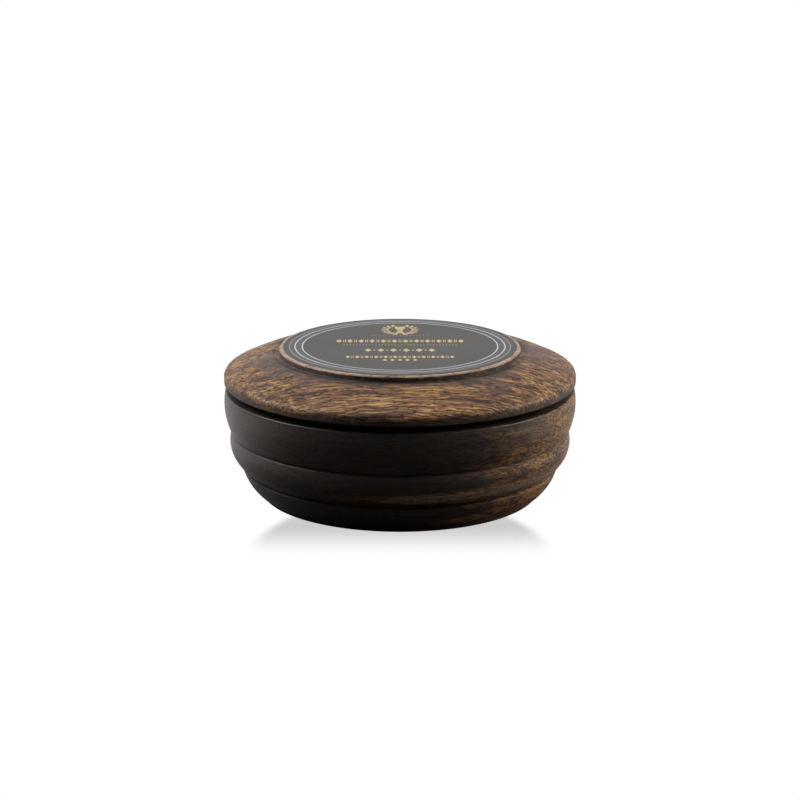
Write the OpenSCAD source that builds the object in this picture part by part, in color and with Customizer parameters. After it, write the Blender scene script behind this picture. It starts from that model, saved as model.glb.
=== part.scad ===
// Lidded wooden shaving bowl with a puck of shaving soap inside.
// Frame: +Z up, origin at the centre of the base, where the bowl stands.

/* [Overall] */
// Widest diameter, shared by the bowl's upper band and the lid
bowl_d = 110; // [91.5:0.5:132]
// Height of the bowl's outer rim above the base
rim_z = 33.8; // [28:0.1:42]

/* [Bowl outside] */
// How far the rim's outer edge sits inside the widest radius
rim_inset = 0.3; // [0.1:0.1:2]
// How far the upper groove's edges sit inside the widest radius
upper_groove_inset = 1.9; // [0.8:0.1:3.4]
// Height of the upper groove above the base
upper_groove_z = 20.5; // [17:0.1:24]
// How far the lower groove's edges sit inside the widest radius
lower_groove_inset = 5.4; // [4:0.1:7]
// Height of the lower groove above the base
lower_groove_z = 9.4; // [7:0.1:11.5]
// Width of both turned grooves
groove_w = 1; // [0.5:0.1:1.3]
// Depth of the upper groove
upper_groove_depth = 0.8; // [0.3:0.1:1]
// Depth of the lower groove
lower_groove_depth = 1.0; // [0.4:0.1:1.3]
// How far the foot's edge sits inside the widest radius
foot_inset = 11.3; // [9:0.1:14]
// Rounding of the outer rim's edge
rim_round = 0.4; // [0.2:0.1:1.2]
// Bulge of the band between the rim and the upper groove
upper_bulge = 1; // [0.2:0.05:1.5]
// Bulge of the band between the two grooves
middle_bulge = 1.65; // [0.5:0.05:2]
// Bulge of the foot below the lower groove
foot_bulge = 0.9; // [0.2:0.05:1.4]
// Rounding of the foot's bottom edge
foot_round = 0.7; // [0.3:0.1:1.5]

/* [Bowl inside] */
// Thickness of the wall between the well and the widest radius
wall_t = 13.75; // [11.4:0.05:16.5]
// Thickness of the bowl's floor
floor_t = 7.5; // [6:0.1:9]
// Radius of the corner between the well's wall and its floor
well_corner = 3; // [1:0.1:5]
// Thickness of the raised collar that the lid fits over
collar_t = 4.6; // [3.8:0.1:5.6]
// Height of the collar above the outer rim
collar_h = 5.2; // [4.3:0.1:6.3]
// Rounding of the collar's top edges
collar_round = 0.8; // [0.3:0.1:1.5]

/* [Base] */
// Diameter of the shallow recess turned into the base
recess_d = 66; // [54:0.5:76]
// Depth of the recess
recess_depth = 1.0; // [0.6:0.1:1.6]
// Bare ring between the recess's wall and the base label
base_label_margin = 2; // [1:0.5:4]
// Thickness of the base label
base_label_t = 0.3; // [0.2:0.05:0.5]

/* [Lid] */
// Shadow gap between the bowl's outer rim and the lid
lid_gap = 2.2; // [1:0.1:3]
// Height of the lid's outer edge, up to where its slope starts
lid_edge_h = 3.8; // [3:0.1:4.6]
// How far the slope's lower end sits inside the widest radius
slope_inset = 1.6; // [1:0.1:2.4]
// Rise of the slope from the outer edge to the raised centre
slope_rise = 5.1; // [4.4:0.1:6.4]
// Bulge of the slope
slope_bulge = 0.4; // [0.1:0.05:0.6]
// Rounding of the lid's lower edge
lid_lower_round = 0.4; // [0.2:0.1:1.4]
// Radial clearance between the collar and the lid's recess
lid_clearance = 0.35; // [0.2:0.05:0.6]
// Thickness of the lid above the edge of its hollow
lid_t = 3.2; // [2.6:0.1:3.9]

/* [Raised centre] */
// Diameter of the lid's raised centre
centre_d = 75.4; // [62:0.2:91]
// Height of the raised centre above the slope's upper end
centre_step = 1.8; // [1.2:0.1:2.2]
// Width of the cove around the raised centre
cove_w = 2.2; // [1.4:0.1:3]
// Depth of the cove below the slope's line
cove_depth = 0.25; // [0.1:0.05:1]
// Rounding of the raised centre's top edge
centre_round = 0.8; // [0.2:0.05:0.9]
// Bare wood between the lid label and the edge of the raised centre
label_margin = 1.25; // [0.9:0.05:4]
// Thickness of the lid label
label_t = 0.15; // [0.1:0.05:0.5]

/* [Soap] */
// Height of the soap puck
puck_h = 18; // [14:0.5:20]
// Gap between the puck's side and the well's wall
puck_gap = 0.8; // [0.3:0.1:2]
// Rounding of the puck's edges, over and above the well's corner
puck_extra_round = 0.6; // [0.3:0.1:1.5]

/* [Hidden] */
$fn = 180;
ARC_STEPS = 10;
ROUND_STEPS = 5;
// Bulge of the curve from the lid's side into its slope
LID_EDGE_BULGE = 0.35;
// Turn of the foot's rounding, which stops short of upright because the side leans out
FOOT_TURN = 60;

widest_r = bowl_d / 2;

well_r = widest_r - wall_t;
collar_r = well_r + collar_t;
collar_z = rim_z + collar_h;
rim_r = widest_r - rim_inset;
upper_groove_r = widest_r - upper_groove_inset;
lower_groove_r = widest_r - lower_groove_inset;
foot_r = widest_r - foot_inset;
groove_half = groove_w / 2;

lid_z = rim_z + lid_gap;
lid_edge_z = lid_z + lid_edge_h;
slope_z = lid_edge_z + slope_rise;
centre_r = centre_d / 2;
centre_z = slope_z + centre_step;
cove_r = centre_r + cove_w;
slope_r = widest_r - slope_inset;
recess_in_lid_r = collar_r + lid_clearance;

label_r = centre_r - label_margin;
recess_r = recess_d / 2;
base_label_r = recess_r - base_label_margin;
puck_r = well_r - puck_gap;
puck_round = well_corner + puck_extra_round;

// Height of the lid's top at radius r, less the slope's bulge, the cove and the raised centre's step
function top_height(r) =
    lid_edge_z + slope_rise * min(1, (slope_r - r) / (slope_r - cove_r));

// The lid's hollow leaves lid_t of wood over its edge
hollow_z = top_height(well_r) - lid_t;

// Points of the arc from p to q that bulges by s to the right of the way from p to q
function bulge(p, q, s, steps = ARC_STEPS) =
    let (chord = norm(q - p),
         along = (q - p) / chord,
         side = [along.y, -along.x],
         radius = (chord * chord / 4 + s * s) / (2 * abs(s)),
         half = asin(chord / 2 / radius),
         centre = (p + q) / 2 + side * (s - sign(s) * radius))
    [for (i = [0 : steps])
        let (a = half * (2 * i / steps - 1))
        centre + along * radius * sin(a) + side * sign(s) * radius * cos(a)];

// Points of a quarter round of radius r about c, from angle a0 turning by da
function quarter(c, r, a0, da = 90) =
    [for (i = [0 : ROUND_STEPS])
        let (a = a0 + da * i / ROUND_STEPS)
        c + r * [cos(a), sin(a)]];

// An outline without the points that repeat the one before
function distinct(points) =
    [for (i = [0 : len(points) - 1])
        if (i == 0 || norm(points[i] - points[i - 1]) > 0.001)
        points[i]];

// The bowl's outside, from the foot up to the rim
function bowl_side() = concat(
    quarter([foot_r - foot_round, foot_round], foot_round, -90, FOOT_TURN),
    bulge([foot_r, foot_round], [lower_groove_r, lower_groove_z - groove_half], foot_bulge),
    [[lower_groove_r - lower_groove_depth, lower_groove_z]],
    bulge([lower_groove_r, lower_groove_z + groove_half],
          [upper_groove_r, upper_groove_z - groove_half], middle_bulge),
    [[upper_groove_r - upper_groove_depth, upper_groove_z]],
    bulge([upper_groove_r, upper_groove_z + groove_half], [rim_r, rim_z - rim_round], upper_bulge),
    quarter([rim_r - rim_round, rim_z - rim_round], rim_round, 0)
);

// A solid turned from half an outline
module turned(points) {
    rotate_extrude()
    polygon(distinct(points));
}

module bowl() {
    color("#3b2a22")
    turned(concat(
        [[0, recess_depth], [recess_r, recess_depth], [recess_r, 0]],
        bowl_side(),
        [[collar_r, rim_z]],
        quarter([collar_r - collar_round, collar_z - collar_round], collar_round, 0),
        quarter([well_r + collar_round, collar_z - collar_round], collar_round, 90),
        quarter([well_r - well_corner, floor_t + well_corner], well_corner, 0, -90),
        [[0, floor_t]]
    ));
}

module lid() {
    color("#5a3a26")
    turned(concat(
        [[recess_in_lid_r, lid_z]],
        quarter([widest_r - lid_lower_round, lid_z + lid_lower_round], lid_lower_round, -90),
        bulge([widest_r, lid_edge_z - slope_inset], [slope_r, lid_edge_z], LID_EDGE_BULGE, ROUND_STEPS),
        bulge([slope_r, lid_edge_z], [cove_r, slope_z], slope_bulge),
        bulge([cove_r, slope_z], [centre_r, slope_z], -cove_depth, ROUND_STEPS),
        quarter([centre_r - centre_round, centre_z - centre_round], centre_round, 0),
        [[0, centre_z], [0, hollow_z], [well_r, hollow_z], [well_r, collar_z],
         [recess_in_lid_r, collar_z]]
    ));
}

module lid_label() {
    color("#5d5957")
    translate([0, 0, centre_z])
    cylinder(r = label_r, h = label_t);
}

module soap_puck() {
    color("#efe8d8")
    translate([0, 0, floor_t])
    turned(concat(
        [[0, 0]],
        quarter([puck_r - puck_round, puck_round], puck_round, -90),
        quarter([puck_r - puck_round, puck_h - puck_round], puck_round, 0),
        [[0, puck_h]]
    ));
}

module base_label() {
    color("#4a4644")
    translate([0, 0, recess_depth - base_label_t])
    cylinder(r = base_label_r, h = base_label_t);
}

bowl();
lid();
lid_label();
soap_puck();
base_label();
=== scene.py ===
"""The looks of a lidded wooden shaving bowl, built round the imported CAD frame. Metres, +Z up."""
import math

import bmesh
import bpy
import numpy as np
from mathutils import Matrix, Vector


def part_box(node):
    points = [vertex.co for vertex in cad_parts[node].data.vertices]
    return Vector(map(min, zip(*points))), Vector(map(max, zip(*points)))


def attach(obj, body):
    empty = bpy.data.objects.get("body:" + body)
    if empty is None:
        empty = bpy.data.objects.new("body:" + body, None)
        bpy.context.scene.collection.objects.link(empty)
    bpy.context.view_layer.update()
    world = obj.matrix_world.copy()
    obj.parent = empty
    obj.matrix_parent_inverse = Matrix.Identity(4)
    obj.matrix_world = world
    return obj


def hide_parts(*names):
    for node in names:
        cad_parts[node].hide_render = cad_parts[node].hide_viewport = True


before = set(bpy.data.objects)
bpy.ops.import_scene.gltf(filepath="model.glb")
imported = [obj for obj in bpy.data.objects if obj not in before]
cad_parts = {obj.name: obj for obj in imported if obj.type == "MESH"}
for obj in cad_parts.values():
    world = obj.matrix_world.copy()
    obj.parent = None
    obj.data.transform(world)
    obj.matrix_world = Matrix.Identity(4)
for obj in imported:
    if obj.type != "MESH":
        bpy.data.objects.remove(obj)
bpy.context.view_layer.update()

MM = 0.001

BOWL_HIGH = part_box("bowl")[1]
LID_LOW, LID_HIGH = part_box("lid")
LABEL_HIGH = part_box("lid_label")[1]
BASE_LABEL_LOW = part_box("base_label")[0]
SOAP_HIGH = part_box("soap_puck")[1]

# Sizes that no node's box gives, in millimetres
RIM = 33.8
RIM_OUTER_R = 54.0
WELL_R = 41.2
FOOT_INSET = 11.3
LABEL_MARGIN = 1.25

# Heights and radii that the materials follow, in millimetres
LID_TOP = LID_HIGH.z / MM
LID_FOOT = LID_LOW.z / MM
LID_R = LID_HIGH.x / MM
CENTRE_R = LABEL_HIGH.x / MM + LABEL_MARGIN
FOOT_R = BOWL_HIGH.x / MM - FOOT_INSET

# Two vertices are on one ring of a turned mesh if their radii and their heights differ by less than this
SAME_RING = 0.005 * MM


# ---------------------------------------------------------------- turned shapes

def ring_numbers(mesh):
    """The number of the ring each vertex of a turned mesh lies on, and each ring's radius and height."""
    rings, number_of = [], []
    for vertex in mesh.vertices:
        r, z = math.hypot(vertex.co.x, vertex.co.y), vertex.co.z
        same = (i for i, ring in enumerate(rings)
                if abs(ring[0] - r) < SAME_RING and abs(ring[1] - z) < SAME_RING)
        number = next(same, len(rings))
        if number == len(rings):
            rings.append((r, z))
        number_of.append(number)
    return number_of, rings


def outline(node):
    """A turned CAD node's half outline as (radius, height) points, from its lower end to its upper one."""
    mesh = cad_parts[node].data
    number_of, rings = ring_numbers(mesh)
    beside = {}
    for edge in mesh.edges:
        a, b = (number_of[i] for i in edge.vertices)
        if a != b:
            beside.setdefault(a, set()).add(b)
            beside.setdefault(b, set()).add(a)
    ends = [number for number, near in beside.items() if len(near) == 1]
    path = [min(ends, key=lambda number: rings[number][1])]
    while len(path) < len(beside):
        path.append(next(number for number in beside[path[-1]] if number not in path[-2:]))
    return [np.array(rings[number]) for number in path]


def softened(points, radius, least_turn=25.0, steps=4):
    """The outline with its sharp corners rounded, as sanding and lacquer leave them."""
    soft = [points[0]]
    for before, corner, after in zip(points, points[1:], points[2:]):
        back, ahead = before - corner, after - corner
        reach = min(np.linalg.norm(back), np.linalg.norm(ahead))
        back, ahead = back / np.linalg.norm(back), ahead / np.linalg.norm(ahead)
        inside = math.acos(np.clip(back @ ahead, -1, 1))
        if math.degrees(math.pi - inside) < least_turn:
            soft.append(corner)
            continue
        cut = min(radius / math.tan(inside / 2), 0.45 * reach)
        start, end = corner + back * cut, corner + ahead * cut
        for i in range(steps + 1):
            t = i / steps
            soft.append((1 - t) ** 2 * start + 2 * t * (1 - t) * corner + t ** 2 * end)
    soft.append(points[-1])
    return soft


def turned(name, points, sides=360, smooth_turn=35.0):
    """A closed solid turned from a half outline. A fan of faces closes each end to the axis."""
    rings = [p for p in points if p[0] > 1e-7]
    angles = np.linspace(0, 2 * math.pi, sides, endpoint=False)
    around = np.stack([np.cos(angles), np.sin(angles)], 1)
    verts = [np.column_stack([around * r, np.full(sides, z)]) for r, z in rings]
    count = len(rings) * sides
    verts.append([[0, 0, rings[0][1]], [0, 0, rings[-1][1]]])
    faces = []
    for ring in range(len(rings) - 1):
        base = ring * sides
        for i in range(sides):
            j = (i + 1) % sides
            faces.append((base + i, base + j, base + sides + j, base + sides + i))
    last = count - sides
    for i in range(sides):
        j = (i + 1) % sides
        faces.append((count, j, i))
        faces.append((count + 1, last + i, last + j))
    mesh = bpy.data.meshes.new(name)
    mesh.from_pydata(np.concatenate(verts).tolist(), [], faces)
    mesh.validate()
    piece = bpy.data.objects.new(name, mesh)
    bpy.context.scene.collection.objects.link(piece)
    work = bmesh.new()
    work.from_mesh(mesh)
    bmesh.ops.recalc_face_normals(work, faces=work.faces)
    work.to_mesh(mesh)
    work.free()
    mesh.shade_smooth()
    mesh.set_sharp_from_angle(angle=math.radians(smooth_turn))
    return piece


def refined(points, longest):
    """The outline with its long straight stretches divided, so that shading stays even."""
    fine = [points[0]]
    for a, b in zip(points, points[1:]):
        parts = max(1, math.ceil(np.linalg.norm(b - a) / longest))
        fine += [a + (b - a) * (i + 1) / parts for i in range(parts)]
    return fine


# ---------------------------------------------------------------- materials

# Noise scales along X, Y and Z, per millimetre. The grain runs along X, so it is coarse there
FIBRE = (0.11, 2.2, 2.2)
FLECK = (0.35, 2.7, 2.7)
STREAK = (0.05, 0.42, 0.42)
BLOTCH = (0.035, 0.06, 0.06)
PURPLE_PATCH = (0.05, 0.09, 0.09)

# Lighter wood, for the bowl's pale streak and the top edge of the lid's raised centre
PALE_WOOD = (0.5, 0.37, 0.28, 1)
PURPLE = (0.11, 0.058, 0.058, 1)
PORE_FILL = (0.016, 0.009, 0.007, 1)
# Near-black for the heartwood stain, and for painted shade in the lid's cove, under the lid and on the
# bowl's rim
BLACK_STAIN_AND_SHADE = (0.026, 0.0225, 0.0225, 1)
# Painted sheen on the label's band between its rings
PAINTED_SHEEN = (0.13, 0.125, 0.12, 1)
SILVER = (0.66, 0.69, 0.76, 1)

# Spacing of the growth rings in millimetres, and how far noise pushes them, in rings
RING_STEP = 3.4
RING_UNEVEN = 1.6

# Bands of height across the bowl, in millimetres: one pale streak in the near-black, and two darker ones
PALE_STREAK = (11.3, 14.2)
PALE_SOFT = 1.2
DARK_STREAKS = ((15.4, 18.2), (5.5, 9.2))
DARK_SOFT = 1.0

# The edge of the bowl's heartwood: its slant, the places along X where it ends and where it is whole, how
# ragged it is, how far the pale streak holds it back and how far the dark ones carry it on, in millimetres
HEARTWOOD_SLANT = 0.7
HEARTWOOD_END = 34
HEARTWOOD_WHOLE = -2
HEARTWOOD_RAGGED = 15
PALE_HOLDS_BACK = 32
DARK_CARRIES_ON = 12


class Graph:
    """One material's nodes, with short calls for the few kinds that these materials use."""

    def __init__(self, name):
        self.material = bpy.data.materials.new(name)
        self.material.use_nodes = True
        self.tree = self.material.node_tree
        self.shader = self.tree.nodes["Principled BSDF"]

    def give(self, socket, value):
        """Link a socket to another one, or set it to a plain value."""
        if isinstance(value, bpy.types.NodeSocket):
            self.tree.links.new(value, socket)
        else:
            socket.default_value = value

    def add(self, kind, inputs, **settings):
        node = self.tree.nodes.new("ShaderNode" + kind)
        for key, value in settings.items():
            setattr(node, key, value)
        for key, value in inputs.items():
            self.give(node.inputs[key], value)
        return node

    def place(self):
        """Position in the row frame, in millimetres."""
        seen = self.add("TexCoord", {}).outputs["Object"]
        return self.add("VectorMath", {0: seen, 1: (1000, 1000, 1000)}, operation="MULTIPLY").outputs[0]

    def vector(self, operation, a, b):
        return self.add("VectorMath", {0: a, 1: b}, operation=operation).outputs[0]

    def maths(self, operation, *values):
        return self.add("Math", dict(enumerate(values)), operation=operation).outputs[0]

    def noise(self, vector, detail=2.0, roughness=0.5):
        inputs = {"Vector": vector, "Scale": 1.0, "Detail": detail, "Roughness": roughness}
        return self.add("TexNoise", inputs)

    def ranged(self, value, low, high, to_low=0.0, to_high=1.0):
        """A smooth step from to_low to to_high as value goes from low to high. low may be the larger."""
        inputs = {"Value": value, "From Min": low, "From Max": high, "To Min": to_low, "To Max": to_high}
        return self.add("MapRange", inputs, interpolation_type="SMOOTHSTEP").outputs[0]

    def mix(self, factor, a, b):
        """Colour a, turning into colour b as factor goes from 0 to 1."""
        node = self.add("Mix", {}, data_type="RGBA")
        for index, value in ((0, factor), (6, a), (7, b)):
            self.give(node.inputs[index], value)
        return node.outputs[2]

    def ramp(self, factor, stops):
        node = self.add("ValToRGB", {"Fac": factor})
        elements = node.color_ramp.elements
        while len(elements) < len(stops):
            elements.new(0.5)
        for element, (at, colour) in zip(elements, stops):
            element.position = at
            element.color = (*colour, 1)
        return node.outputs[0]

    def bump(self, height, depth):
        inputs = {"Height": height, "Distance": depth, "Strength": 1.0}
        return self.add("Bump", inputs).outputs[0]

    def finish(self, **sockets):
        """The material, with the shader's sockets set. An underscore in a name stands for a space."""
        for key, value in sockets.items():
            self.give(self.shader.inputs[key.replace("_", " ")], value)
        return self.material


def pores(g, grain, along, across, size, share):
    """Dark vessel marks: 1 in a pore and 0 between. Each is long along X and thin across it."""
    squeezed = g.vector("MULTIPLY", grain, (along, across, across))
    cells = g.add("TexVoronoi", {"Vector": squeezed, "Scale": 1.0})
    near = g.ranged(cells.outputs["Distance"], size, 0.55 * size)
    chosen = g.add("SeparateColor", {"Color": cells.outputs["Color"]}).outputs[0]
    return g.maths("MULTIPLY", near, g.maths("LESS_THAN", chosen, share))


def centred(g, noise, strength):
    """A noise moved to swing about zero, times strength."""
    return g.maths("MULTIPLY", g.maths("SUBTRACT", noise, 0.5), strength)


def wandering_grain(g, moved):
    """Position with the straightness taken out of the grain: a slow drift and a small ripple."""
    slow = g.noise(g.vector("MULTIPLY", moved, (0.014, 0.03, 0.03)), 2.0).outputs["Color"]
    slow = g.vector("MULTIPLY", g.vector("SUBTRACT", slow, (0.5, 0.5, 0.5)), (0, 9, 9))
    ripple = g.noise(g.vector("MULTIPLY", moved, (0.12, 0.16, 0.16)), 2.0).outputs["Color"]
    ripple = g.vector("MULTIPLY", g.vector("SUBTRACT", ripple, (0.5, 0.5, 0.5)), (0, 1.4, 1.4))
    return g.vector("ADD", moved, g.vector("ADD", slow, ripple))


def growth_rings(g, moved, grain, heart, seed):
    """0 to 1 across each growth ring about the tree's centre line, which runs along X."""
    offset = (0, -heart[0] - seed[1], -heart[1] - seed[2])
    flat = g.vector("MULTIPLY", g.vector("ADD", grain, offset), (0, 1, 1))
    from_heart = g.add("VectorMath", {0: flat}, operation="LENGTH").outputs["Value"]
    uneven = g.noise(g.vector("MULTIPLY", moved, (0.02, 0.12, 0.12)), 2.0).outputs[0]
    turns = g.maths("ADD", g.maths("MULTIPLY", from_heart, 1 / RING_STEP),
                    g.maths("MULTIPLY", uneven, RING_UNEVEN))
    ring = g.maths("FRACT", turns)
    return g.maths("MULTIPLY", g.ranged(ring, 0.1, 0.85), g.ranged(ring, 1.0, 0.88))


def wood(name, seed, heart, figure, stops, dark_rough, coat, stain_and_shade, pale_share):
    """Open-pored hardwood under a dark stain and satin lacquer, with its grain along X.

    seed moves the wood's pattern. heart is the tree's centre line, as (y, z) in millimetres. figure is how
    fine the figure is along Y and Z: with less along Y, the layers of the wood lie flat. stops are the
    colours from the darkest grain to the lightest. dark_rough is the roughness where the near-black stain
    and the painted shade lie, and coat the lacquer's weight. stain_and_shade gives the share of near-black
    stain and of painted shade from the graph, the position and the streaks, and pale_share the share of
    lighter wood from the graph and the position.
    """
    g = Graph(name)
    place = g.place()
    moved = g.vector("ADD", place, seed)
    ring = growth_rings(g, moved, wandering_grain(g, moved), heart, seed)
    moved = g.vector("MULTIPLY", moved, (1, *figure))
    grain = wandering_grain(g, moved)

    fibre = g.noise(g.vector("MULTIPLY", grain, FIBRE), 4.0, 0.62).outputs[0]
    fleck = g.noise(g.vector("MULTIPLY", grain, FLECK), 2.0, 0.5).outputs[0]
    streak = g.noise(g.vector("MULTIPLY", grain, STREAK), 3.0, 0.55).outputs[0]
    blotch = g.noise(g.vector("MULTIPLY", moved, BLOTCH), 2.0).outputs[0]

    tone = g.maths("ADD", centred(g, fibre, 3.0), centred(g, streak, 1.4))
    tone = g.maths("ADD", tone, centred(g, blotch, 0.6))
    tone = g.maths("SUBTRACT", tone, g.maths("MULTIPLY", ring, 0.14))
    tone = g.maths("SUBTRACT", tone, g.ranged(fleck, 0.52, 0.64, 0.0, 0.38))
    colour = g.ramp(g.maths("ADD", tone, 0.57), stops)
    purple = g.ranged(g.noise(g.vector("MULTIPLY", moved, PURPLE_PATCH), 3.0).outputs[0], 0.5, 0.68)
    colour = g.mix(g.maths("MULTIPLY", purple, 0.55), colour, PURPLE)
    # Lighter wood: the bowl's pale streak, and the top edge of the lid's raised centre
    colour = g.mix(pale_share(g, place), colour, PALE_WOOD)

    unspread = g.vector("MULTIPLY", grain, (1, figure[1] / figure[0], 1))
    coarse = pores(g, unspread, 0.26, 1.3, 0.28, 0.8)
    fine = pores(g, g.vector("ADD", unspread, (31, 17, 53)), 0.45, 2.3, 0.28, 0.6)
    pore = g.maths("MAXIMUM", coarse, g.maths("MULTIPLY", fine, 0.85))
    # This near-black share is the bowl's heartwood stain, and painted shade in the lid's cove, low on its
    # side, on its underside, and on the bowl's rim and collar under the lid
    stain = stain_and_shade(g, place, streak)
    pore_showing = g.maths("SUBTRACT", 1.0, g.maths("MULTIPLY", stain, 0.75))
    pore = g.maths("MULTIPLY", pore, pore_showing)
    colour = g.mix(g.maths("MULTIPLY", pore, 0.9), colour, PORE_FILL)
    colour = g.mix(g.maths("MULTIPLY", stain, 0.92), colour, BLACK_STAIN_AND_SHADE)

    height = g.maths("SUBTRACT", g.maths("MULTIPLY", g.maths("MULTIPLY", fibre, 0.8), pore_showing), pore)
    normal = g.bump(height, 0.12 * MM)
    rough = g.maths("ADD", g.maths("MULTIPLY", fibre, 0.2), g.ranged(stain, 0, 1, 0.45, dark_rough))
    rough = g.maths("ADD", rough, g.maths("MULTIPLY", pore, 0.2))
    return g.finish(Base_Color=colour, Roughness=rough, Normal=normal, Coat_Weight=coat,
                    Coat_Roughness=0.3, Specular_IOR_Level=0.36)


def radius_of(g, place):
    """Distance from the bowl's axis, in millimetres."""
    flat = g.vector("MULTIPLY", place, (1, 1, 0))
    return g.add("VectorMath", {0: flat}, operation="LENGTH").outputs["Value"]


def between(g, value, low, high, soft):
    """1 where value lies between low and high, with soft edges."""
    over_low = g.ranged(value, low - soft, low + soft)
    under_high = g.ranged(value, high + soft, high - soft)
    return g.maths("MULTIPLY", over_low, under_high)


def painted_cove_and_gap_shade(g, place, streak):
    """Painted shade on the lid: in the cove round its raised centre, weaker towards the sides than at the
    front and back, low on its side, and on its underside.
    """
    radius = radius_of(g, place)
    split = g.add("SeparateXYZ", {0: place})
    height = split.outputs["Z"]
    # Painted shade: the cove, the foot of the lid's side and its underside are darkened, less where the
    # cove faces the sides
    in_cove = g.maths("MULTIPLY", g.ranged(radius, CENTRE_R - 0.9, CENTRE_R - 0.2),
                      g.ranged(radius, CENTRE_R + 7.0, CENTRE_R + 0.5))
    below_top = g.ranged(height, LID_TOP - 0.35, LID_TOP - 0.75)
    cove = g.maths("MULTIPLY", in_cove, below_top)
    from_middle = g.maths("ABSOLUTE", split.outputs["Y"])
    cove = g.maths("MULTIPLY", cove, g.ranged(from_middle, 4, 24, 0.25, 1.0))
    side = g.maths("MULTIPLY", g.ranged(radius, LID_R - 2.2, LID_R - 0.6),
                   g.ranged(height, LID_FOOT + 3.0, LID_FOOT + 1.0))
    under = g.ranged(height, LID_FOOT + 0.5, LID_FOOT + 0.1)
    return g.maths("MULTIPLY", g.maths("MAXIMUM", cove, g.maths("MAXIMUM", side, under)), 0.85)


def heartwood_stain_and_gap_shade(g, place, streak):
    """Near-black heartwood that fades out along a slanting line, and painted shade on the rim's top and the
    collar, in the gap under the lid.

    The pale streak holds the edge of the heartwood back, and the dark streaks carry it on.
    """
    split = g.add("SeparateXYZ", {0: place})
    height = split.outputs["Z"]
    beyond = g.maths("SUBTRACT", split.outputs["X"], g.maths("MULTIPLY", height, HEARTWOOD_SLANT))
    beyond = g.maths("ADD", beyond, centred(g, streak, HEARTWOOD_RAGGED))
    pale = between(g, height, *PALE_STREAK, PALE_SOFT)
    beyond = g.maths("ADD", beyond, g.maths("MULTIPLY", pale, PALE_HOLDS_BACK))
    upper, lower = (between(g, height, low, high, DARK_SOFT) for low, high in DARK_STREAKS)
    dark = g.maths("ADD", upper, lower)
    beyond = g.maths("SUBTRACT", beyond, g.maths("MULTIPLY", dark, DARK_CARRIES_ON))
    side = g.ranged(beyond, HEARTWOOD_END, HEARTWOOD_WHOLE)
    radius = radius_of(g, place)
    # Painted shade in the gap under the lid: the rim's top and the collar are darkened to near-black
    rim_shade = g.maths("MULTIPLY", g.ranged(height, RIM - 0.3, RIM - 0.05),
                    g.ranged(radius, RIM_OUTER_R + 0.3, RIM_OUTER_R - 0.3))
    rim_shade = g.maths("MULTIPLY", rim_shade, g.ranged(radius, WELL_R, WELL_R + 1.0))
    return g.maths("MAXIMUM", side, rim_shade)


def sapwood_streak(g, place):
    """The pale streak's lighter wood, from a little left of the bowl's front round to its right."""
    split = g.add("SeparateXYZ", {0: place})
    streak = between(g, split.outputs["Z"], *PALE_STREAK, PALE_SOFT)
    return g.maths("MULTIPLY", streak, g.ranged(split.outputs["X"], -14, 4, 0.0, 0.35))


def lighter_above(height):
    """Lighter wood above a height, in millimetres, in patches: the top edge of the lid's raised centre."""
    def pale_share(g, place):
        z = g.add("SeparateXYZ", {0: place}).outputs["Z"]
        patchy = g.noise(g.vector("MULTIPLY", place, (0.25, 0.25, 0.25)), 3.0).outputs[0]
        return g.maths("MULTIPLY", g.ranged(z, height - 0.5, height), g.ranged(patchy, 0.3, 0.6, 0.5, 0.95))
    return pale_share


def line_at(g, radius, at, width):
    """1 on a printed ring of that radius and width, in millimetres."""
    off = g.maths("ABSOLUTE", g.maths("SUBTRACT", radius, at))
    return g.ranged(off, width / 2 + 0.03, width / 2 - 0.03)


def label_paper(name, base, rings, band):
    """Coated label paper with printed silver rings, and a painted sheen: a paler band between the two radii
    of band.

    rings are (radius, width, strength), in millimetres.
    """
    g = Graph(name)
    place = g.place()
    radius = radius_of(g, place)
    speckle = g.noise(g.vector("MULTIPLY", place, (3, 3, 3)), 3.0).outputs[0]
    cloud = g.noise(g.vector("MULTIPLY", place, (0.06, 0.06, 0.06)), 2.0).outputs[0]
    paper = g.ramp(g.maths("ADD", g.maths("MULTIPLY", speckle, 0.5), g.maths("MULTIPLY", cloud, 0.5)),
                   [(0.3, [0.75 * c for c in base]), (0.7, [1.25 * c for c in base])])
    # The paler band is painted sheen, the same all round the label
    inside = g.maths("MULTIPLY", g.ranged(radius, band[0] - 0.1, band[0] + 0.1),
                     g.ranged(radius, band[1] + 0.1, band[1] - 0.1))
    paper = g.mix(g.maths("MULTIPLY", inside, 0.3), paper, PAINTED_SHEEN)
    silver = 0.0
    for at, width, strength in rings:
        silver = g.maths("MAXIMUM", silver, g.maths("MULTIPLY", line_at(g, radius, at, width), strength))
    colour = g.mix(silver, paper, SILVER)
    weave = g.noise(g.vector("MULTIPLY", place, (5, 5, 5)), 2.0).outputs[0]
    rough = g.ranged(silver, 0, 1, 0.42, 0.3)
    rough = g.maths("ADD", rough, g.maths("MULTIPLY", speckle, 0.06))
    return g.finish(Base_Color=colour, Metallic=g.maths("MULTIPLY", silver, 0.9), Roughness=rough,
                    Normal=g.bump(weave, 0.006 * MM))


def gold_foil():
    """Gold foil, rubbed duller in patches."""
    g = Graph("gold_foil")
    place = g.place()
    rubbed = g.noise(g.vector("MULTIPLY", place, (1.4, 1.4, 1.4)), 4.0, 0.6).outputs[0]
    colour = g.ramp(rubbed, [(0.3, (0.62, 0.42, 0.14)), (0.7, (0.86, 0.66, 0.3))])
    rough = g.ranged(rubbed, 0.3, 0.7, 0.42, 0.28)
    return g.finish(Base_Color=colour, Metallic=0.85, Roughness=rough, Normal=g.bump(rubbed, 0.004 * MM))


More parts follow.
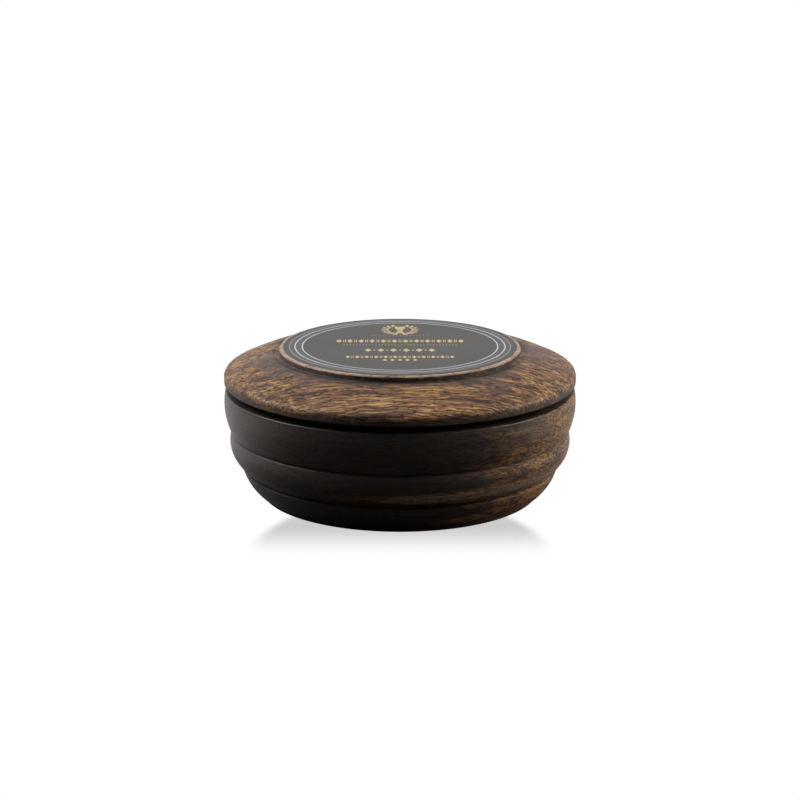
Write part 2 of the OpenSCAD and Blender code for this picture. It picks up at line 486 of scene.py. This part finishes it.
def soap_paste():
    """Hard cream soap with a faint swirl from milling."""
    g = Graph("shaving_soap")
    place = g.place()
    cloud = g.noise(g.vector("MULTIPLY", place, (0.05, 0.05, 0.09)), 4.0, 0.55).outputs[0]
    grain = g.noise(g.vector("MULTIPLY", place, (0.9, 0.9, 0.9)), 4.0, 0.6).outputs[0]
    swirl = g.noise(g.vector("MULTIPLY", place, (0.16, 0.5, 0.5)), 5.0, 0.6).outputs[0]
    colour = g.ramp(g.maths("ADD", g.maths("MULTIPLY", cloud, 0.5), g.maths("MULTIPLY", swirl, 0.5)),
                    [(0.35, (0.74, 0.66, 0.5)), (0.62, (0.86, 0.82, 0.7))])
    rough = g.ranged(grain, 0.3, 0.7, 0.42, 0.56)
    height = g.maths("ADD", g.maths("MULTIPLY", grain, 0.5), g.maths("MULTIPLY", swirl, 0.5))
    return g.finish(Base_Color=colour, Roughness=rough, Normal=g.bump(height, 0.08 * MM),
                    Subsurface_Weight=0.25, Subsurface_Scale=0.003, Subsurface_Radius=(1.0, 0.6, 0.35))


# ---------------------------------------------------------------- the wooden pieces

LID_STOPS = [(0.0, (0.030, 0.011, 0.006)), (0.3, (0.11, 0.045, 0.019)), (0.6, (0.28, 0.132, 0.046)),
             (1.0, (0.56, 0.33, 0.12))]
BOWL_STOPS = [(0.0, (0.026, 0.010, 0.006)), (0.3, (0.13, 0.056, 0.020)), (0.6, (0.30, 0.150, 0.050)),
              (1.0, (0.48, 0.28, 0.11))]
CORNER = 0.12 * MM
LONGEST_STEP = 2.5 * MM

# The bowl's near-black is heartwood stain, apart from its rim top and collar under the lid, which are
# painted shade
bowl_wood = wood("bowl_wood", seed=(140, 60, 35), heart=(-30, -95), figure=(0.3, 1.0), stops=BOWL_STOPS,
                 dark_rough=0.28, coat=0.12, stain_and_shade=heartwood_stain_and_gap_shade, pale_share=sapwood_streak)
# The lid's dark cove, lower side and underside are painted shade
lid_wood = wood("lid_wood", seed=(0, 0, 0), heart=(18, 150), figure=(0.62, 0.62), stops=LID_STOPS,
                dark_rough=0.5, coat=0.13, stain_and_shade=painted_cove_and_gap_shade, pale_share=lighter_above(LID_TOP - 0.15))


def turned_wood(name, node, body, material):
    """A wooden piece turned from its CAD node's own outline, with its corners eased."""
    piece = turned(name, refined(softened(outline(node), CORNER), LONGEST_STEP))
    piece.data.materials.append(material)
    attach(piece, body)
    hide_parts(node)


turned_wood("bowl_turning", "bowl", "bowl_body", bowl_wood)
turned_wood("lid_turning", "lid", "lid_body", lid_wood)


# ---------------------------------------------------------------- labels

FOIL_T = 0.02 * MM
CUT_EDGE = 0.06 * MM
LABEL_COLOUR = (0.04, 0.037, 0.035)
# Printed rings: radius and width in millimetres, and strength
LID_RINGS = ((30.5, 0.4, 1.0), (32.75, 0.4, 1.0), (34.5, 0.32, 0.4))
BASE_RINGS = ((28.6, 0.4, 1.0), (27.4, 0.25, 1.0))
label_material = label_paper("lid_label_print", LABEL_COLOUR, LID_RINGS, (30.5, 34.5))
base_material = label_paper("base_label_print", LABEL_COLOUR, BASE_RINGS, (27.4, 28.6))


def label_disc(name, node, body, material, printed_up):
    """A label with its cut edge softened. The foil fills the last FOIL_T of the CAD node's printed side."""
    low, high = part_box(node)
    bottom, top = (low.z, high.z - FOIL_T) if printed_up else (low.z + FOIL_T, high.z)
    radius = high.x
    side = [(radius * i / 6, bottom) for i in range(1, 6)]
    side += [(radius - CUT_EDGE, bottom), (radius, bottom + CUT_EDGE)]
    side += [(radius, top - CUT_EDGE), (radius - CUT_EDGE, top)]
    side += [(radius * i / 6, top) for i in range(5, 0, -1)]
    piece = turned(name, [np.array(p) for p in side], sides=256)
    piece.data.materials.append(material)
    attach(piece, body)
    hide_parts(node)


label_disc("lid_label_disc", "lid_label", "lid_body", label_material, True)
label_disc("base_label_disc", "base_label", "bowl_body", base_material, False)


# ---------------------------------------------------------------- gold ornament, with no lettering

foil_material = gold_foil()


def foil(name, shapes, level, body, up=1):
    """One foil piece from flat outlines in millimetres, FOIL_T proud of the label's face at level."""
    work = bmesh.new()
    for points in shapes:
        ring = [work.verts.new((x * MM, y * MM, level)) for x, y in points]
        face = work.faces.new(ring)
        face.normal_update()
        if face.normal.z * up < 0:
            face.normal_flip()
    made = bmesh.ops.extrude_face_region(work, geom=list(work.faces))
    risen = [v for v in made["geom"] if isinstance(v, bmesh.types.BMVert)]
    bmesh.ops.translate(work, verts=risen, vec=(0, 0, up * FOIL_T))
    bmesh.ops.recalc_face_normals(work, faces=work.faces)
    mesh = bpy.data.meshes.new(name)
    work.to_mesh(mesh)
    work.free()
    piece = bpy.data.objects.new(name, mesh)
    bpy.context.scene.collection.objects.link(piece)
    piece.data.materials.append(foil_material)
    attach(piece, body)


def lozenge(x, y, w, h):
    return [(x - w / 2, y), (x, y - h / 2), (x + w / 2, y), (x, y + h / 2)]


def bar(x, y, w, h):
    return [(x - w / 2, y - h / 2), (x + w / 2, y - h / 2), (x + w / 2, y + h / 2), (x - w / 2, y + h / 2)]


def disc(x, y, r, sides=20):
    turns = [2 * math.pi * i / sides for i in range(sides)]
    return [(x + r * math.cos(t), y + r * math.sin(t)) for t in turns]


def leaf(x, y, length, width, angle, steps=8):
    """A pointed leaf whose stem end is at x, y."""
    ca, sa = math.cos(math.radians(angle)), math.sin(math.radians(angle))
    along = [i / steps for i in range(steps + 1)]
    edge = [(length * t, width / 2 * math.sin(math.pi * t ** 0.8)) for t in along]
    rim = edge + [(u, -v) for u, v in reversed(edge[1:-1])]
    return [(x + u * ca - v * sa, y + u * sa + v * ca) for u, v in rim]


def wreath(x, y, half_w, half_h, pairs):
    """Two plain laurel branches that rise from the bottom and leave the top open."""
    shapes = []
    for i in range(pairs):
        turn = math.radians(-84 + 138 * i / (pairs - 1))
        foot_x, foot_y = half_w * math.cos(turn), half_h * math.sin(turn)
        heading = math.degrees(math.atan2(half_h * math.cos(turn), -half_w * math.sin(turn)))
        for lean, length in ((-34, 2.5), (30, 1.9)):
            shapes.append(leaf(x + foot_x, y + foot_y, length, 0.95, heading + lean))
            shapes.append(leaf(x - foot_x, y + foot_y, length, 0.95, 180 - heading - lean))
    return shapes


def shaving_brush(x, y, size):
    """A small brush: a fan of bristles, a ferrule and a waisted handle."""
    fan = [(-0.1, 0), (0.1, 0), (0.22, 0.34), (0.13, 0.46), (0, 0.5), (-0.13, 0.46), (-0.22, 0.34)]
    handle = [(-0.15, -0.5), (0.15, -0.5), (0.17, -0.42), (0.07, -0.27), (0.11, -0.12), (-0.11, -0.12),
              (-0.07, -0.27), (-0.17, -0.42)]
    placed = [[(x + size * u, y + size * v) for u, v in shape] for shape in (fan, handle)]
    return placed + [bar(x, y - 0.06 * size, 0.26 * size, 0.07 * size)]


def spaced(half, count):
    """count places spread evenly from -half to half."""
    return [half * (2 * i / (count - 1) - 1) for i in range(count)]


def frieze(y, half, count, height):
    """A row of lozenges with a pair of upright bars between them."""
    places = spaced(half, count)
    step = places[1] - places[0]
    shapes = [lozenge(x, y, 0.52 * step, height) for x in places]
    for x in places[:-1]:
        shapes += [bar(x + step * t, y, 0.08 * step, 0.72 * height) for t in (0.42, 0.58)]
    return shapes


def dots(y, half, count, radius):
    return [disc(x, y, radius, 10) for x in spaced(half, count)]


# Ornament about each label's centre, in millimetres, with +Y away from the front
lid_art = {
    "emblem": wreath(0, 21.0, 4.5, 5.6, 8) + shaving_brush(0, 20.9, 8.6),
    "upper_dots": dots(12.9, 8.6, 17, 0.2),
    "wide_frieze": frieze(5.9, 19.2, 12, 4.4),
    "middle_dots": dots(0.8, 17.5, 36, 0.26),
    "middle_row": [lozenge(x, -5.9, 2.3, 4.2) for x in spaced(9.9, 6)] + dots(-5.9, 7.92, 5, 0.45),
    "lower_frieze": frieze(-14.4, 16.0, 12, 3.2),
    "foot_row": [lozenge(x, -18.2, 1.5, 2.6) for x in spaced(4.6, 5)],
}
for part, shapes in lid_art.items():
    foil("lid_foil_" + part, shapes, LABEL_HIGH.z - FOIL_T, "lid_body")

base_art = {
    "emblem": wreath(0, 6.5, 5.6, 6.4, 8) + shaving_brush(0, 6.5, 9.6),
    "frieze": frieze(-6.5, 16.0, 10, 4.0),
    "dots": dots(-11.5, 12.0, 21, 0.3),
    "foot_row": [lozenge(x, -16.5, 2.0, 3.0) for x in spaced(6.0, 5)],
}
for part, shapes in base_art.items():
    mirrored = [[(x, -y) for x, y in shape] for shape in shapes]
    foil("base_foil_" + part, mirrored, BASE_LABEL_LOW.z + FOIL_T, "bowl_body", up=-1)


# ---------------------------------------------------------------- soap

def soap_puck():
    """The puck, with the shallow ring that its press leaves in the top."""
    points = outline("soap_puck")
    top = SOAP_HIGH.z
    groove_r, groove_half, groove_d = 0.74 * SOAP_HIGH.x, 1.5 * MM, 0.5 * MM
    dip = []
    for i in range(11):
        r = groove_r + groove_half * (1 - 2 * i / 10)
        depth = groove_d * math.cos(math.pi / 2 * (r - groove_r) / groove_half) ** 2
        dip.append(np.array((r, top - depth)))
    piece = turned("soap_cake", refined(points + dip, LONGEST_STEP), sides=256)
    piece.data.materials.append(soap_paste())
    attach(piece, "bowl_body")
    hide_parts("soap_puck")


soap_puck()


# ---------------------------------------------------------------- floor, light and camera

# What the lamps aim at, and the camera's downward tilt in degrees
AIM = (0, 0, 0.02)
LOOK_DOWN = 15.3

# The floor's mirror, in millimetres: its half width where it is whole and where it ends, and the distance
# from the middle, along Y, inside which it narrows
MIRROR_WHOLE = 40
MIRROR_END = 46
MIRROR_NARROWS = 60
MIRROR_SHARE = 0.4


def floor_disc(name, material, level):
    """A wide round stage floor at that height."""
    work = bmesh.new()
    bmesh.ops.create_circle(work, cap_ends=True, radius=3.0, segments=96)
    mesh = bpy.data.meshes.new(name)
    work.to_mesh(mesh)
    work.free()
    plane = bpy.data.objects.new(name, mesh)
    bpy.context.scene.collection.objects.link(plane)
    plane.location.z = level
    mesh.materials.append(material)
    return plane


def floor():
    """A white floor that mirrors the bowl near its foot, and a dimmer one, unseen, for bounced light.

    The mirror fades along Y, away from the foot. Along X it ends on a curve that is narrower near the foot.
    """
    g = Graph("pale_floor")
    split = g.add("SeparateXYZ", {0: g.place()})
    away = g.maths("ABSOLUTE", split.outputs["Y"])
    aside = g.maths("ABSOLUTE", split.outputs["X"])
    gloss = g.maths("MULTIPLY", g.ranged(away, FOOT_R + 22, FOOT_R - 8, 0.0, MIRROR_SHARE),
                    g.ranged(away, FOOT_R - 22, FOOT_R - 14))
    short = g.maths("MAXIMUM", g.maths("SUBTRACT", MIRROR_NARROWS, away), 0)
    short = g.maths("MULTIPLY", short, 1 / 30)
    beyond = g.maths("ADD", aside, g.maths("MULTIPLY", g.maths("MULTIPLY", short, short), 8.5))
    gloss = g.maths("MULTIPLY", gloss, g.ranged(beyond, MIRROR_END, MIRROR_WHOLE))
    white = g.add("Emission", {"Color": (1, 1, 1, 1), "Strength": 1.0}).outputs[0]
    mirror = g.add("BsdfGlossy", {"Color": (1.27, 1.27, 1.27, 1), "Roughness": 0.03}).outputs[0]
    shine = g.add("MixShader", {0: gloss, 1: white, 2: mirror}).outputs[0]
    g.tree.links.new(shine, g.tree.nodes["Material Output"].inputs["Surface"])
    seen = floor_disc("floor", g.material, -0.0002)
    seen.visible_diffuse = False
    seen.visible_glossy = False
    seen.visible_shadow = False

    dim = Graph("floor_bounce")
    where = dim.add("SeparateXYZ", {0: dim.place()})
    aside = dim.maths("MULTIPLY", dim.maths("ABSOLUTE", where.outputs["X"]), 0.45)
    depth = dim.maths("ADD", where.outputs["Y"], aside)
    grey = dim.ramp(dim.ranged(depth, -30, 90), [(0.0, (0.03, 0.03, 0.03)), (1.0, (0.75, 0.75, 0.75))])
    dim.finish(Base_Color=grey, Roughness=0.9)
    bounce = floor_disc("floor_bounce", dim.material, -0.0004)
    bounce.visible_camera = False


def studio():
    """White round the object to the camera, and a soft dome that is brightest low behind it."""
    world = bpy.data.worlds.new("studio")
    bpy.context.scene.world = world
    world.use_nodes = True
    tree = world.node_tree
    tree.nodes.clear()
    out = tree.nodes.new("ShaderNodeOutputWorld")
    seen = tree.nodes.new("ShaderNodeBackground")
    dome = tree.nodes.new("ShaderNodeBackground")
    both = tree.nodes.new("ShaderNodeMixShader")
    path = tree.nodes.new("ShaderNodeLightPath")
    where = tree.nodes.new("ShaderNodeTexCoord")
    lean = tree.nodes.new("ShaderNodeVectorMath")
    lean.operation = "DOT_PRODUCT"
    lean.inputs[1].default_value = Vector((0.0, 1.0, -0.3)).normalized()
    level = tree.nodes.new("ShaderNodeMapRange")
    level.interpolation_type = "SMOOTHSTEP"
    for key, value in (("From Min", -0.1), ("From Max", 0.9), ("To Min", 0.11), ("To Max", 0.85)):
        level.inputs[key].default_value = value
    tree.links.new(where.outputs["Generated"], lean.inputs[0])
    tree.links.new(lean.outputs["Value"], level.inputs["Value"])
    tree.links.new(level.outputs[0], dome.inputs["Strength"])
    tree.links.new(path.outputs["Is Camera Ray"], both.inputs[0])
    tree.links.new(dome.outputs[0], both.inputs[1])
    tree.links.new(seen.outputs[0], both.inputs[2])
    tree.links.new(both.outputs[0], out.inputs[0])
    seen.inputs["Color"].default_value = (1, 1, 1, 1)
    dome.inputs["Color"].default_value = (1, 1, 1, 1)


def lamp(name, place, size, power, colour=(1, 1, 1)):
    """A rectangular softbox, aimed at AIM."""
    data = bpy.data.lights.new(name, "AREA")
    data.shape = "RECTANGLE"
    data.size, data.size_y = size
    data.energy = power
    data.color = colour
    piece = bpy.data.objects.new(name, data)
    bpy.context.scene.collection.objects.link(piece)
    piece.location = place
    piece.rotation_euler = (Vector(AIM) - Vector(place)).to_track_quat("-Z", "Y").to_euler()


def camera():
    """The camera in front, looking down at the object by LOOK_DOWN."""
    data = bpy.data.cameras.new("camera")
    data.lens = 103.9
    data.sensor_width = 36
    data.clip_start = 0.01
    piece = bpy.data.objects.new("camera", data)
    bpy.context.scene.collection.objects.link(piece)
    piece.location = (0, -0.7, 0.2207)
    piece.rotation_euler = (math.pi / 2 - math.radians(LOOK_DOWN), 0, 0)
    bpy.context.scene.camera = piece


floor()
studio()
lamp("right_softbox", place=(0.58, 0.0, 0.33), size=(0.3, 0.3), power=2.8, colour=(1.0, 0.96, 0.9))
lamp("left_softbox", place=(-0.5, 0.08, 0.46), size=(0.3, 0.4), power=3.1)
lamp("top_softbox", place=(0, 0.1, 0.75), size=(0.4, 0.4), power=0.8)
camera()
bpy.context.scene.view_settings.view_transform = "Standard"
